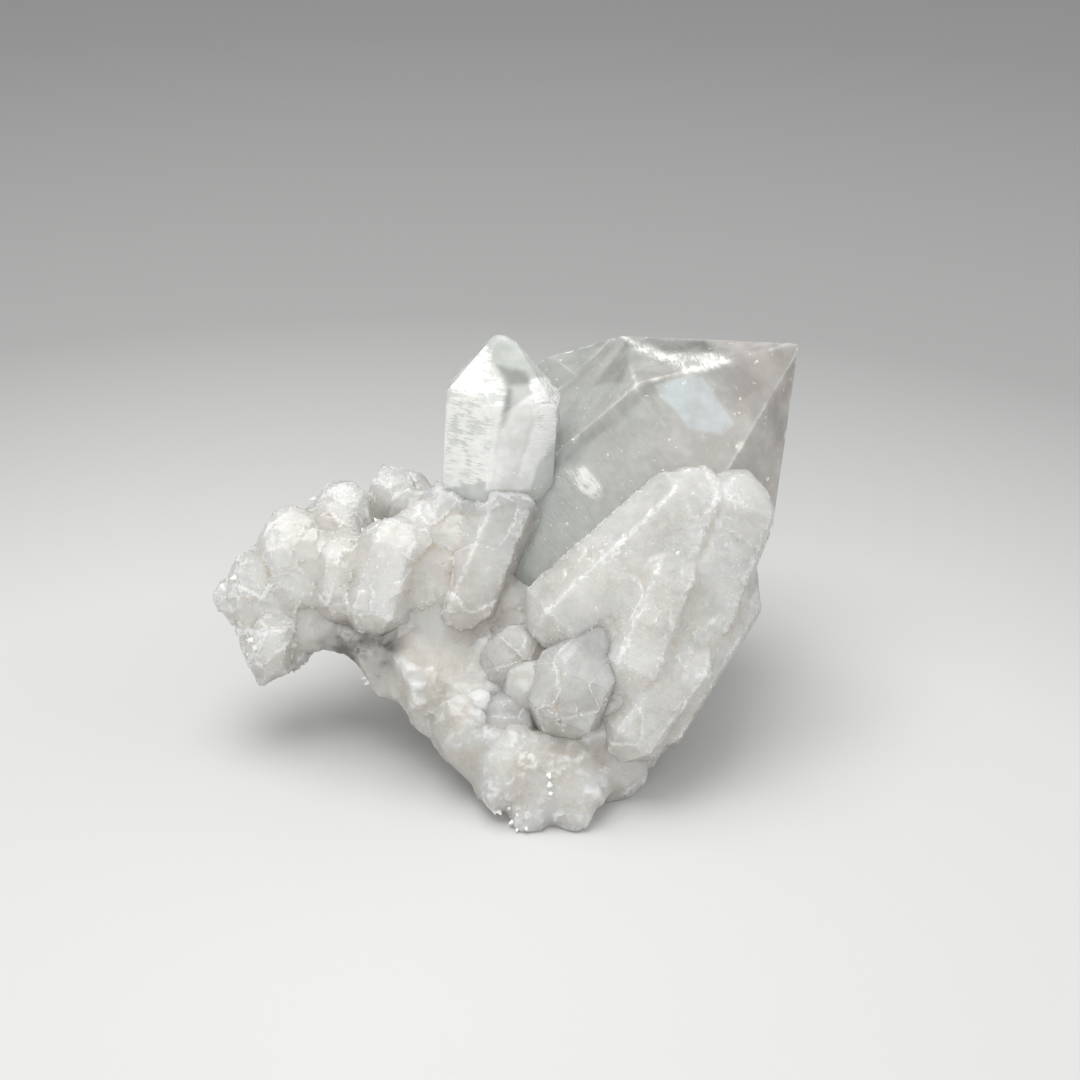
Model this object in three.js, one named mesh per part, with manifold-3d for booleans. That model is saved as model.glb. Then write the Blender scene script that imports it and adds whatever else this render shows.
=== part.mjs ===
// A natural quartz crystal cluster, lying on the broken underside of its matrix.
// Millimetres, +Z up, the front towards -Y.
// The origin is under the middle of its box, on the surface it lies on.
import * as THREE from "three";
import { ConvexGeometry } from "three/addons/geometries/ConvexGeometry.js";
import { mergeVertices } from "three/addons/utils/BufferGeometryUtils.js";
import Module from "manifold-3d";

const wasm = await Module();
wasm.setup();

const CAP_SLOPE = THREE.MathUtils.degToRad(51.8); // between a crystal's axis and the normal of a cap face
const ROOT_SLOPE = THREE.MathUtils.degToRad(128); // the same for the bevels at its root
const SIXTH = Math.PI / 3;
const VIEWER = new THREE.Vector3(0, -0.88, 0.47); // where the cluster is looked at from
const GAP = 0.3; // between pieces that grew against each other
const PLANE_SLACK = 1e-4;
const GROUND_REACH = [200, 60]; // half width and depth of the block below the surface

// A rough chunk is cut by planes whose normals wind around it from top to bottom.
const CHUNK_FACES = 26;
const CHUNK_WINDING = 2.399963; // the golden angle, in radians from one normal to the next
const CHUNK_STRAY = 0.9;
const CHUNK_NEAREST = 0.84; // the closest cut, as a share of the chunk's size

// Sugary points: least and most size as shares of the row's girth, stray of the lean, length in girths
const DRUSE_SIZE = [0.65, 1.35];
const DRUSE_STRAY = 0.45;
const DRUSE_LENGTH = [1.6, 2.6];

// Crystals, by the foot and tip of each axis, in the frame of the front foot before the cluster is centred
const MAIN = [
  { foot: [-11, 59, 18], tip: [46, 65, 69], girth: 20.7, roll: -5, minor: 0.02, taper: 0, root: 1.2 },
  { foot: [-10, 72, 30], tip: [13, 83, 63], girth: 10, roll: 20, minor: 0.1 },
];

const UPPER = [
  {
    foot: [-13, 49, 40],
    tip: [-11, 55, 77],
    girth: 9.8,
    roll: 26,
    sides: [1, 1.2, 1, 1, 0.92, 1],
    minor: 0.08,
    taper: 0,
    worn: 0.12,
    blunt: 0.18,
  },
];

const FAN = [
  { foot: [-4, 23, 28], tip: [28, 36, 56], girth: 6, roll: 10 },
  { foot: [13, 22, 26], tip: [28, 39, 58], girth: 6.5, roll: 0, worn: 0.3, blunt: 0.35 },
  { foot: [22, 25, 26], tip: [36, 42, 56], girth: 7.5, roll: 20, worn: 0.3, blunt: 0.3 },
  { foot: [12, 15, 22], tip: [23, 27, 46], girth: 5.5, roll: 0, blunt: 0.5 },
  { foot: [13, 17, 9], tip: [36, 36, 38], girth: 6.5, roll: 20, blunt: 0.2 },
  { foot: [10, 12, 10], tip: [27, 22, 30], girth: 5.5, roll: 10, blunt: 0.3 },
  { foot: [6, 20, 14], tip: [30, 33, 40], girth: 9, roll: 15, blunt: 0.4 },
];

const LOBE = [
  { foot: [-20, 31, 26], tip: [-8, 47, 51], girth: 6, roll: 15, blunt: 0.25 },
  { foot: [-26, 36, 28], tip: [-17, 51, 49], girth: 6.5, roll: 0, blunt: 0.4 },
  { foot: [-36, 29, 26], tip: [-29, 39, 47], girth: 5.6, roll: 0, worn: 0.25, blunt: 0.35 },
  { foot: [-30, 33, 26], tip: [-24, 46, 47], girth: 6, roll: 20, blunt: 0.4 },
  { foot: [-41, 34, 25], tip: [-40, 43, 43], girth: 6.5, roll: 10, worn: 0.3, blunt: 0.4 },
  { foot: [-46, 39, 24], tip: [-53, 46, 46], girth: 7, roll: 0, worn: 0.25, blunt: 0.35 },
  { foot: [-41, 44, 28], tip: [-46, 53, 44], girth: 6, roll: 10, worn: 0.3, blunt: 0.4 },
  { foot: [-52, 41, 26], tip: [-67, 41, 27], girth: 4.8, roll: 10, blunt: 0.2 },
  { foot: [-50, 40, 28], tip: [-64, 42, 34], girth: 5.5, roll: 0, blunt: 0.4 },
  { foot: [-52, 38, 27], tip: [-57, 31, 13], girth: 4.4, roll: 0 },
  { foot: [-51, 38, 25], tip: [-62, 35, 17], girth: 4.4, roll: 20, blunt: 0.4 },
  { foot: [-50, 39, 24], tip: [-51, 33, 15], girth: 3.6, roll: 0 },
  { foot: [-40, 50, 32], tip: [-43, 57, 46], girth: 5, roll: 0, worn: 0.3, blunt: 0.5 },
  { foot: [-31, 60, 33], tip: [-35, 67, 43], girth: 4.4, roll: 30 },
  { foot: [-26, 54, 30], tip: [-26, 60, 44], girth: 6, roll: 10, blunt: 0.6 },
];

const BACK = [
  { foot: [-2, 72, 16], tip: [16, 88, 30], girth: 6, roll: 20, blunt: 0.1 },
  { foot: [-12, 74, 18], tip: [-16, 92, 34], girth: 5, roll: 0 },
  { foot: [-24, 66, 24], tip: [-34, 78, 36], girth: 4.5, roll: 10, blunt: 0.3 },
  { foot: [-16, 72, 20], tip: [-22, 83, 34], girth: 5.5, roll: 30, blunt: 0.2 },
];

const FRONT = [
  { foot: [-1, 15, 13], tip: [8, 19, 33], girth: 7, roll: 10 },
  { foot: [-13, 22, 19], tip: [-1, 26, 29], girth: 5, roll: 20 },
  { foot: [-20, 20, 12], tip: [-3, 15, 17], girth: 4.8, roll: 0, blunt: 0.5 },
  { foot: [-13, 17, 7], tip: [-2, 11, 11], girth: 4.5, roll: 20, blunt: 0.4 },
];

// Small crystals that are one with the rock: at the foot, the lower right, in the middle hollow and behind
const SMALL = [
  { foot: [-5, 11, 3], tip: [6, 8, 12], girth: 4, roll: 0 },
  { foot: [2, 10, 7], tip: [3, 0, -1], girth: 3.4, roll: 20 },
  { foot: [-5, 9, 5], tip: [-6, 0, -2], girth: 3.4, roll: 0 },
  { foot: [-12, 14, 6], tip: [-14, 6, 3], girth: 3, roll: 0 },
  { foot: [6, 15, 7], tip: [19, 14, 6], girth: 4.8, roll: 15, blunt: 0.5 },
  { foot: [13, 19, 5], tip: [26, 30, 13], girth: 3.4, roll: 0 },
  { foot: [8, 18, 7], tip: [11, 11, -2], girth: 3, roll: 0 },
  { foot: [-11, 34, 19], tip: [-11, 37, 33], girth: 3.2, roll: 10 },
  { foot: [-8, 31, 18], tip: [-7, 36, 34], girth: 3.4, roll: 30 },
  { foot: [-15, 31, 19], tip: [-16, 37, 35], girth: 4.2, roll: 0, blunt: 0.3 },
  { foot: [-21, 30, 17], tip: [-23, 35, 32], girth: 5, roll: 20, blunt: 0.4 },
  { foot: [6, 56, 8], tip: [30, 66, 15], girth: 5.5, roll: 20 },
  { foot: [4, 64, 6], tip: [16, 82, 12], girth: 4.5, roll: 0, blunt: 0.2 },
  { foot: [-18, 62, 10], tip: [-30, 74, 14], girth: 4.5, roll: 10 },
];

// Rows of sugary points along the broken rims, from one end of a row to the other
const DRUSE = [
  {
    from: [-37, 33, 17], to: [-10, 7, 4], lean: [-0.2, -0.8, 0.5],
    count: 16, girth: 1.7, spread: 1.5, seed: 41,
  },
  {
    from: [-30, 27, 19], to: [-12, 15, 15], lean: [0.2, -0.6, 0.7],
    count: 12, girth: 2, spread: 3, seed: 42,
  },
  {
    from: [-3, 6, 4], to: [6, 7, 7], lean: [0, -0.9, 0.4],
    count: 7, girth: 1.6, spread: 2, seed: 43,
  },
  {
    from: [-53, 37, 25], to: [-38, 34, 24], lean: [-0.1, -0.8, -0.4],
    count: 10, girth: 1.7, spread: 2, seed: 44,
  },
  {
    from: [6, 14, 8], to: [16, 18, 4], lean: [0.6, -0.6, 0],
    count: 7, girth: 1.6, spread: 2, seed: 45,
  },
];

// Chunks of the broken rock that the crystals stand on, by middle and half size
const CHUNKS = [
  { at: [-50, 42, 27], size: [7, 7, 7], seed: 11 },
  { at: [-42, 46, 27], size: [10, 10, 8], seed: 12 },
  { at: [-32, 44, 24], size: [11, 12, 9], seed: 13 },
  { at: [-27, 33, 19], size: [10, 10, 9], seed: 14 },
  { at: [-21, 26, 15], size: [10, 9, 9], seed: 15 },
  { at: [-14, 19, 11], size: [10, 9, 9], seed: 16 },
  { at: [-7, 12, 7], size: [9, 8, 8], seed: 17 },
  { at: [1, 10, 6], size: [7, 7, 7], seed: 18 },
  { at: [9, 19, 10], size: [8, 8, 10], seed: 19 },
  { at: [-4, 36, 14], size: [18, 16, 13], seed: 20 },
  { at: [8, 46, 8], size: [14, 12, 10], seed: 21 },
  { at: [6, 59, 7], size: [10, 9, 8], seed: 22 },
  { at: [-17, 57, 10], size: [10, 11, 11], seed: 23 },
  { at: [-8, 64, 10], size: [10, 9, 11], seed: 24 },
  { at: [-21, 50, 17], size: [10, 10, 10], seed: 25 },
];

// A repeatable stream of numbers from 0 to 1.
function dice(seed) {
  let state = seed >>> 0;
  return () => {
    state = (state + 0x6d2b79f5) >>> 0;
    let t = state;
    t = Math.imul(t ^ (t >>> 15), t | 1);
    t ^= t + Math.imul(t ^ (t >>> 7), t | 61);
    return ((t ^ (t >>> 14)) >>> 0) / 4294967296;
  };
}

const vector = (xyz) => new THREE.Vector3(...xyz);
const between = ([least, most], share) => least + (most - least) * share;

function planeThrough(normal, point, out = 0) {
  const n = normal.clone().normalize();
  return { n, reach: n.dot(point) + out };
}

// The point where three planes meet, or null where two are nearly parallel.
function meeting(a, b, c) {
  const bc = b.n.clone().cross(c.n);
  const det = a.n.dot(bc);
  if (Math.abs(det) < 1e-6) return null;
  return bc
    .multiplyScalar(a.reach)
    .addScaledVector(c.n.clone().cross(a.n), b.reach)
    .addScaledVector(a.n.clone().cross(b.n), c.reach)
    .divideScalar(det);
}

// The closed solid that lies behind every plane, with each face moved out by grow.
function solidBehind(planes, grow = 0) {
  const moved = planes.map(({ n, reach }) => ({ n, reach: reach + grow }));
  const corners = [];
  for (let i = 0; i < moved.length; i++)
    for (let j = i + 1; j < moved.length; j++)
      for (let k = j + 1; k < moved.length; k++) {
        const corner = meeting(moved[i], moved[j], moved[k]);
        if (!corner) continue;
        if (moved.some(({ n, reach }) => n.dot(corner) > reach + PLANE_SLACK)) continue;
        if (corners.every((other) => other.distanceTo(corner) > 1e-2)) corners.push(corner);
      }
  return manifoldOf(new ConvexGeometry(corners));
}

function manifoldOf(geometry) {
  geometry.deleteAttribute("normal");
  geometry.deleteAttribute("uv");
  const merged = mergeVertices(geometry, 1e-3);
  return new wasm.Manifold(
    new wasm.Mesh({
      numProp: 3,
      vertProperties: merged.attributes.position.array,
      triVerts: new Uint32Array(merged.index.array),
    }),
  );
}

// The face planes of one quartz crystal. foot and tip are the ends of its axis, and girth is the distance
// from the axis to a prism face. sides tells how far each of the six is out as a share of girth, and roll
// turns the first one from the front. Three cap faces meet at the tip and the other three stand off by minor.
// worn bevels the tip, blunt cuts it off, and root is the share of girth left where it narrows into the rock.
function crystal({
  foot,
  tip,
  girth,
  roll = 0,
  sides = [1, 1, 1, 1, 1, 1],
  minor = 0.12,
  blunt = 0,
  taper = 2,
  worn = 0,
  root = 0.5,
}) {
  const start = vector(foot);
  const apex = vector(tip);
  const axis = apex.clone().sub(start).normalize();
  const face = VIEWER.clone().addScaledVector(axis, -VIEWER.dot(axis)).normalize();
  const leaning = (outward, slope) =>
    axis.clone().multiplyScalar(Math.cos(slope)).addScaledVector(outward, Math.sin(slope));
  const shoulder = apex.clone().addScaledVector(axis, -girth * Math.tan(CAP_SLOPE));
  const planes = [planeThrough(axis.clone().negate(), start)];
  for (let i = 0; i < 6; i++) {
    const outward = face.clone().applyAxisAngle(axis, THREE.MathUtils.degToRad(roll) + i * SIXTH);
    const side = leaning(outward, THREE.MathUtils.degToRad(90 - taper));
    planes.push(planeThrough(side, shoulder.clone().addScaledVector(outward, girth * sides[i])));
    planes.push(planeThrough(leaning(outward, CAP_SLOPE), apex, i % 2 ? girth * minor : 0));
    const neck = start.clone().addScaledVector(outward, girth * root);
    planes.push(planeThrough(leaning(outward, ROOT_SLOPE), neck));
    if (worn) planes.push(planeThrough(leaning(outward, CAP_SLOPE / 2), apex, -girth * worn));
  }
  if (blunt) planes.push(planeThrough(axis, apex, -girth * blunt));
  return planes;
}

// The face planes of a rough broken chunk of rock.
function chunk({ at, size, seed }) {
  const roll = dice(seed);
  const middle = vector(at);
  const planes = [];
  for (let i = 0; i < CHUNK_FACES; i++) {
    const height = 1 - (2 * (i + 0.5)) / CHUNK_FACES;
    const around = i * CHUNK_WINDING + roll() * CHUNK_STRAY;
    const ring = Math.sqrt(1 - height * height);
    const way = new THREE.Vector3(ring * Math.cos(around), ring * Math.sin(around), height);
    const reach = Math.hypot(way.x * size[0], way.y * size[1], way.z * size[2]);
    planes.push(planeThrough(way, middle, reach * between([CHUNK_NEAREST, 1], roll())));
  }
  return planes;
}

// One row of small points, each with its own lean and size.
function druse({ from, to, lean, count, girth, spread, seed }) {
  const roll = dice(seed);
  const jitter = (size) => new THREE.Vector3(roll() - 0.5, roll() - 0.5, roll() - 0.5).multiplyScalar(2 * size);
  return Array.from({ length: count }, (_, i) => {
    const foot = vector(from).lerp(vector(to), (i + 0.5) / count).add(jitter(spread));
    const size = girth * between(DRUSE_SIZE, roll());
    const way = vector(lean).add(jitter(DRUSE_STRAY)).normalize();
    const tip = foot.clone().addScaledVector(way, size * between(DRUSE_LENGTH, roll()));
    foot.addScaledVector(way, -size);
    return { foot: foot.toArray(), tip: tip.toArray(), girth: size, roll: 60 * roll(), minor: 2, root: 2 };
  });
}

const joined = (all) => all.reduce((a, b) => a.add(b));

// What is left in one piece, without crumbs that a cut has parted from it.
function biggest(solid) {
  return solid.decompose().sort((a, b) => b.volume() - a.volume())[0];
}

const solidOf = (all, grow = 0) => joined(all.map((one) => solidBehind(crystal(one), grow)));

// A block that takes away everything below the surface the cluster lies on.
const underground = solidBehind(
  [
    [[0, 0, 1], 0],
    [[0, 0, -1], GROUND_REACH[1]],
    [[1, 0, 0], GROUND_REACH[0]],
    [[-1, 0, 0], GROUND_REACH[0]],
    [[0, 1, 0], GROUND_REACH[0]],
    [[0, -1, 0], GROUND_REACH[0]],
  ].map(([way, reach]) => ({ n: vector(way), reach })),
);

// Each group gives way to the ones before it, with a thin gap between them.
const GROUPS = [
  ["main_point", MAIN],
  ["upper_point", UPPER],
  ["right_fan", FAN],
  ["left_lobe", LOBE],
  ["front_points", FRONT],
  ["back_points", BACK],
];

const solids = {};
let taken = underground;
for (const [name, all] of GROUPS) {
  solids[name] = biggest(solidOf(all).subtract(taken));
  taken = taken.add(solidOf(all, GAP));
}
const rock = joined(CHUNKS.map((one) => solidBehind(chunk(one))));
solids.matrix = biggest(rock.add(solidOf([...SMALL, ...DRUSE.flatMap(druse)])).subtract(taken));

const MATERIALS = {
  clear: new THREE.MeshStandardMaterial({ color: 0xd8d4d0, roughness: 0.12, metalness: 0 }),
  milky: new THREE.MeshStandardMaterial({ color: 0xdcd6d0, roughness: 0.3, metalness: 0 }),
  rough: new THREE.MeshStandardMaterial({ color: 0xc9c6bf, roughness: 0.6, metalness: 0 }),
};

function meshOf(name, solid, material) {
  const { vertProperties, triVerts, numProp, numVert } = solid.getMesh();
  const places = new Float32Array(numVert * 3);
  for (let i = 0; i < numVert; i++) places.set(vertProperties.subarray(i * numProp, i * numProp + 3), i * 3);
  const geometry = new THREE.BufferGeometry();
  geometry.setAttribute("position", new THREE.BufferAttribute(places, 3));
  geometry.setIndex(new THREE.BufferAttribute(new Uint32Array(triVerts), 1));
  const mesh = new THREE.Mesh(geometry, material);
  mesh.name = name;
  return mesh;
}

const FINISH = {
  main_point: "clear",
  upper_point: "clear",
  matrix: "rough",
};

const cluster = new THREE.Group();
for (const [name, solid] of Object.entries(solids))
  cluster.add(meshOf(name, solid, MATERIALS[FINISH[name] ?? "milky"]));

const box = new THREE.Box3().setFromObject(cluster);
const middle = box.getCenter(new THREE.Vector3());
cluster.position.set(-middle.x, -middle.y, -box.min.z);

export default cluster;
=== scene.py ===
"""Dresses the quartz crystal cluster: clear and milky crystals, sugary rock, inner veils and a studio floor with a
painted pool of light.
"""

import math

import bmesh
import bpy
import numpy as np
from mathutils import Matrix, Vector
from mathutils.kdtree import KDTree


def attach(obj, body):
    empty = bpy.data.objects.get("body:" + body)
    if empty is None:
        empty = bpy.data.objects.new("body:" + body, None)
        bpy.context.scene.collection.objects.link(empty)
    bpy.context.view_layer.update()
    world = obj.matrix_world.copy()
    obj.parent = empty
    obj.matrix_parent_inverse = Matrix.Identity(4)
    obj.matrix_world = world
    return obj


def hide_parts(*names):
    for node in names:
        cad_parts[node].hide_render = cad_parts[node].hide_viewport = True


bl_info = {
    "name": "Quartz crystal cluster",
    "version": (1, 0, 0),
    "blender": (4, 5, 0),
    "location": "3D Viewport > Sidebar > Quartz",
    "description": "Builds a cluster of clear and milky quartz crystals on its broken rock",
    "category": "Add Mesh",
}

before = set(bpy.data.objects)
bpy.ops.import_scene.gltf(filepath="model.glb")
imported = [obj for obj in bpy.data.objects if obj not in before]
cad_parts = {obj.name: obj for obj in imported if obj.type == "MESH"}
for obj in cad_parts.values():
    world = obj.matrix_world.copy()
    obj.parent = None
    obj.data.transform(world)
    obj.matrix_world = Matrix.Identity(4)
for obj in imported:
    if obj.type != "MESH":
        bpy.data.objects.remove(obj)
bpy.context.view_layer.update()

MM = 0.001
WELD = 0.005 * MM  # corners closer than this are one
FILLER_STEP = 1.2 * MM  # mesh step of the body that fills the crevices
FOOT_SHIFT = Vector((10.05, -46.17, 0.0)) * MM  # from the front foot's own frame to the part's frame


def part_place(x, y, z):
    """A place given in millimetres from the front foot, in the part's frame in metres."""
    return Vector((x, y, z)) * MM + FOOT_SHIFT


EYE_PLACE = part_place(-3.65, -384.06, 265.19)
EYE_LEAN = 28.0  # degrees down from level
HALF_VIEW = 12.0  # degrees from the middle of the view to its side
MAIN_FOOT = part_place(-11, 59, 18)
MAIN_TIP = part_place(46, 65, 69)
UPPER_FOOT = part_place(-13, 49, 40)
UPPER_TIP = part_place(-11, 55, 77)
# middle of the painted shade under the arch on the left
ARCH_SHADE_MIDDLE = part_place(-37, 30, 22)
LUMPS = (  # rough rock under the arch and between the small front crystals: middle and half sizes
    (part_place(-43, 37, 23), (9 * MM, 6 * MM, 4.5 * MM)),
    (part_place(-35, 33, 22), (6 * MM, 6 * MM, 5 * MM)),
    (part_place(-5, 19, 20), (5 * MM, 4 * MM, 5 * MM)),
    (part_place(-14, 22, 17), (5 * MM, 4 * MM, 5 * MM)),
    (part_place(-11, 14, 12), (5 * MM, 4 * MM, 4 * MM)),
    (part_place(6, 15, 11), (4 * MM, 4 * MM, 4 * MM)),
    (part_place(-16, 28, 21), (5 * MM, 4 * MM, 4 * MM)),
)
GROWN_FROM = part_place(-26, 0, 0).x  # the left mass is grown together most beyond these two places
GROWN_TO = part_place(-38, 0, 0).x
FAN_AXIS = Vector((17, 17, 30))
LOBE_AXIS = Vector((4, 10, 20))


# Cloudy and dark marks inside the clear points, each an outline in the front view, 1080 units to its width
FEATHER = (
    ((622, 336), (643, 345), (669, 355), (690, 354), (714, 353))
    + ((731, 361), (706, 371), (686, 373), (664, 361), (640, 352))
)
BLUE_PATCH = ((654, 385), (690, 375), (702, 377), (735, 424), (722, 435), (688, 428), (674, 408), (660, 396))
LOW_VEIL = ((566, 470), (584, 468), (604, 486), (600, 500), (580, 492))
MAIN_PALE = (FEATHER, LOW_VEIL)
MAIN_DARK = (((647, 340), (705, 340), (712, 350), (664, 352)), ((596, 384), (626, 342), (629, 362), (622, 382)))
UPPER_PALE = (
    ((430, 490), (447, 384), (465, 362), (491, 362), (498, 372), (506, 391), (503, 408), (497, 425), (490, 480)),
    ((530, 380), (553, 377), (566, 403), (560, 423), (552, 450), (520, 475), (536, 420)),
    ((447, 384), (465, 362), (486, 346), (492, 358), (470, 372)),
)
UPPER_BODY = ((495, 420), (530, 395), (545, 440), (530, 490), (485, 490))
UPPER_DARK = (
    ((497, 365), (525, 371), (533, 383), (509, 386)),
    ((507, 388), (512, 390), (510, 412), (503, 428), (500, 424)),
)


# Sizes and colours that a user would change
class QuartzSizes(bpy.types.PropertyGroup):
    crystal_step: bpy.props.FloatProperty(
        name="Crystal step",
        description="Mesh step on the milky crystals",
        default=0.42 * MM,
        min=0.2 * MM,
        unit="LENGTH",
    )
    point_step: bpy.props.FloatProperty(
        name="Point step",
        description="Longest edge on the clear points",
        default=0.95 * MM,
        min=0.3 * MM,
        unit="LENGTH",
    )
    rock_step: bpy.props.FloatProperty(
        name="Rock step", description="Mesh step on the matrix", default=0.6 * MM, min=0.2 * MM, unit="LENGTH"
    )
    chip_depth: bpy.props.FloatProperty(
        name="Chip depth", description="Depth of the nicks along the edges", default=0.35 * MM, min=0, unit="LENGTH"
    )
    grain_size: bpy.props.FloatProperty(
        name="Grain size",
        description="Width of a sugary grain on the rock",
        default=0.9 * MM,
        min=0.2 * MM,
        unit="LENGTH",
    )
    grain_density: bpy.props.FloatProperty(
        name="Grain density", description="Sugary grains to a square metre", default=350000.0, min=0
    )


class QuartzColours(bpy.types.PropertyGroup):
    clear_tint: bpy.props.FloatVectorProperty(
        name="Clear quartz", description="Cool grey of the clear points", default=(0.80, 0.83, 0.79), subtype="COLOR"
    )
    rose_tint: bpy.props.FloatVectorProperty(
        name="Warm zones", description="Faint pink of the warmer zones", default=(0.93, 0.885, 0.845), subtype="COLOR"
    )
    milk: bpy.props.FloatVectorProperty(
        name="Milk", description="Milky body of the crystals", default=(0.955, 0.92, 0.875), subtype="COLOR"
    )
    frost: bpy.props.FloatVectorProperty(
        name="Frost", description="Frosted edges and sugary grains", default=(0.99, 0.98, 0.935), subtype="COLOR"
    )
    # warm grey painted as shade in the creases, and also used for random warm patches on the rock
    crease_shade_and_warm_tone: bpy.props.FloatVectorProperty(
        name="Hollows", description="Warm grey of the hollows", default=(0.78, 0.735, 0.66), subtype="COLOR"
    )
    # colour of the painted shade under the arch and on the undersides, and of the dark marks in the clear points
    shade: bpy.props.FloatVectorProperty(
        name="Grey rock", description="Grey patches on the underside", default=(0.17, 0.165, 0.15), subtype="COLOR"
    )


# Fields of numbers on points, all of them fixed by their seeds
def hashed(cell, seed):
    """A repeatable number from 0 to 1 for each row of whole numbers."""
    mixed = cell[..., 0] * 73856093 ^ cell[..., 1] * 19349663 ^ cell[..., 2] * 83492791 ^ seed * 2654435761
    mixed = (mixed ^ (mixed >> 13)) * 1274126177 & 0xFFFFFFFF
    mixed = (mixed ^ (mixed >> 16)) * 2246822519 & 0xFFFFFFFF
    return (mixed ^ (mixed >> 15)) % 65536 / 65535.0


def clouds(points, size, octaves=3, seed=1):
    """Smooth noise from -1 to 1 with features of the given size."""
    total = np.zeros(len(points))
    weight = 0.0
    for octave in range(octaves):
        scaled = points / (size / 2**octave) + 100.0
        cell = np.floor(scaled).astype(np.int64)
        t = scaled - cell
        t = t * t * (3 - 2 * t)
        value = 0.0
        for corner in np.ndindex(2, 2, 2):
            share = np.prod(np.where(np.array(corner) == 1, t, 1 - t), axis=1)
            value = value + share * hashed(cell + np.array(corner), seed + octave)
        total += (2 * value - 1) / 2**octave
        weight += 1 / 2**octave
    return total / weight


def cells(points, size, seed=1):
    """Distance to the nearest of scattered points in units of size, and that point's own number."""
    scaled = points / size + 100.0
    base = np.floor(scaled).astype(np.int64)
    near = np.full(len(points), 9.0)
    name = np.zeros(len(points))
    for step in np.ndindex(3, 3, 3):
        cell = base + np.array(step) - 1
        centre = cell + np.stack([hashed(cell, seed + k) for k in range(3)], axis=1)
        far = np.linalg.norm(scaled - centre, axis=1)
        closer = far < near
        name = np.where(closer, hashed(cell, seed + 7), name)
        near = np.where(closer, far, near)
    return near, name


def facets(points, size, seed=1):
    """Heights of broken flat faces, each tilted its own way, from about -1 to 1."""
    scaled = points / size + 100.0
    base = np.floor(scaled).astype(np.int64)
    near = np.full(len(points), 9.0)
    height = np.zeros(len(points))
    for step in np.ndindex(3, 3, 3):
        cell = base + np.array(step) - 1
        centre = cell + np.stack([hashed(cell, seed + k) for k in range(3)], axis=1)
        tilt = np.stack([hashed(cell, seed + 3 + k) for k in range(3)], axis=1) * 2 - 1
        away = scaled - centre
        far = np.linalg.norm(away, axis=1)
        closer = far < near
        height = np.where(closer, (away * tilt).sum(axis=1) + 0.5 * tilt[:, 0], height)
        near = np.where(closer, far, near)
    return height


def broken_flat(places, normals, size, share, seed=1):
    """How far each place moves onto the mean plane of its cell, so that a lumpy surface breaks into flat faces."""
    scaled = places / size + 100.0
    base = np.floor(scaled).astype(np.int64)
    near = np.full(len(scaled), 9.0)
    owner = base.copy()
    for step in np.ndindex(3, 3, 3):
        cell = base + np.array(step) - 1
        centre = cell + np.stack([hashed(cell, seed + k) for k in range(3)], axis=1)
        far = np.linalg.norm(scaled - centre, axis=1)
        owner = np.where((far < near)[:, None], cell, owner)
        near = np.minimum(near, far)
    axis = np.argmax(np.abs(normals), axis=1)
    side = 2 * axis + (np.take_along_axis(normals, axis[:, None], axis=1)[:, 0] > 0)
    key = ((owner[:, 0] * 1000 + owner[:, 1]) * 1000 + owner[:, 2]) * 6 + side
    back = np.unique(key, return_inverse=True)[1]
    count = np.bincount(back)
    middle = np.stack([np.bincount(back, places[:, k]) / count for k in range(3)], axis=1)
    facing = np.stack([np.bincount(back, normals[:, k]) for k in range(3)], axis=1)
    facing /= np.maximum(np.linalg.norm(facing, axis=1), 1e-9)[:, None]
    drop = ((middle[back] - places) * facing[back]).sum(axis=1)
    return facing[back] * (share * np.clip(drop, -0.25 * size, 0.25 * size))[:, None]


def front_view(places):
    """Where each place is seen from the front, in the units of the marks."""
    eye = np.array(EYE_PLACE)
    away = places - eye
    lean = math.radians(EYE_LEAN)
    depth = away[:, 1] * math.cos(lean) - away[:, 2] * math.sin(lean)
    height = away[:, 1] * math.sin(lean) + away[:, 2] * math.cos(lean)
    scale = 540 / math.tan(math.radians(HALF_VIEW)) / depth
    return np.stack([540 + away[:, 0] * scale, 540 - height * scale], axis=1)


def inside_depth(spots, outline):
    """How far each spot is inside an outline, below zero outside it."""
    corners = np.array(outline, float)
    far = np.full(len(spots), 1e9)
    inside = np.zeros(len(spots), bool)
    for a, b in zip(corners, np.roll(corners, -1, axis=0)):
        along = np.clip(((spots - a) @ (b - a)) / ((b - a) @ (b - a)), 0, 1)
        far = np.minimum(far, np.linalg.norm(spots - a - along[:, None] * (b - a), axis=1))
        crosses = (a[1] > spots[:, 1]) != (b[1] > spots[:, 1])
        run = (spots[:, 1] - a[1]) / np.where(b[1] == a[1], 1, b[1] - a[1]) * (b[0] - a[0]) + a[0]
        inside ^= crosses & (spots[:, 0] < run)
    return np.where(inside, far, -far)


def marked(places, normals, outlines, soft):
    """How much of the marks shows at each place, from 0 to 1, on the faces turned to the front."""
    if not outlines:
        return np.zeros(len(places))
    spots = front_view(places)
    deepest = np.max([inside_depth(spots, outline) for outline in outlines], axis=0)
    facing = smooth_step(0.05, 0.3, -normals[:, 1] * 0.88 + normals[:, 2] * 0.47)
    return smooth_step(-soft, soft, deepest) * facing


def smooth_step(low, high, value):
    """0 below low, 1 above high, and a smooth rise between them."""
    t = np.clip((value - low) / (high - low), 0, 1)
    return t * t * (3 - 2 * t)


# Meshes as arrays
def places_of(mesh):
    flat = np.empty(len(mesh.vertices) * 3)
    mesh.vertices.foreach_get("co", flat)
    return flat.reshape(-1, 3)


def normals_of(mesh):
    flat = np.empty(len(mesh.vertices) * 3)
    mesh.vertex_normals.foreach_get("vector", flat)
    return flat.reshape(-1, 3)


def pairs_of(mesh):
    flat = np.empty(len(mesh.edges) * 2, np.int32)
    mesh.edges.foreach_get("vertices", flat)
    return flat.reshape(-1, 2)


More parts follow.
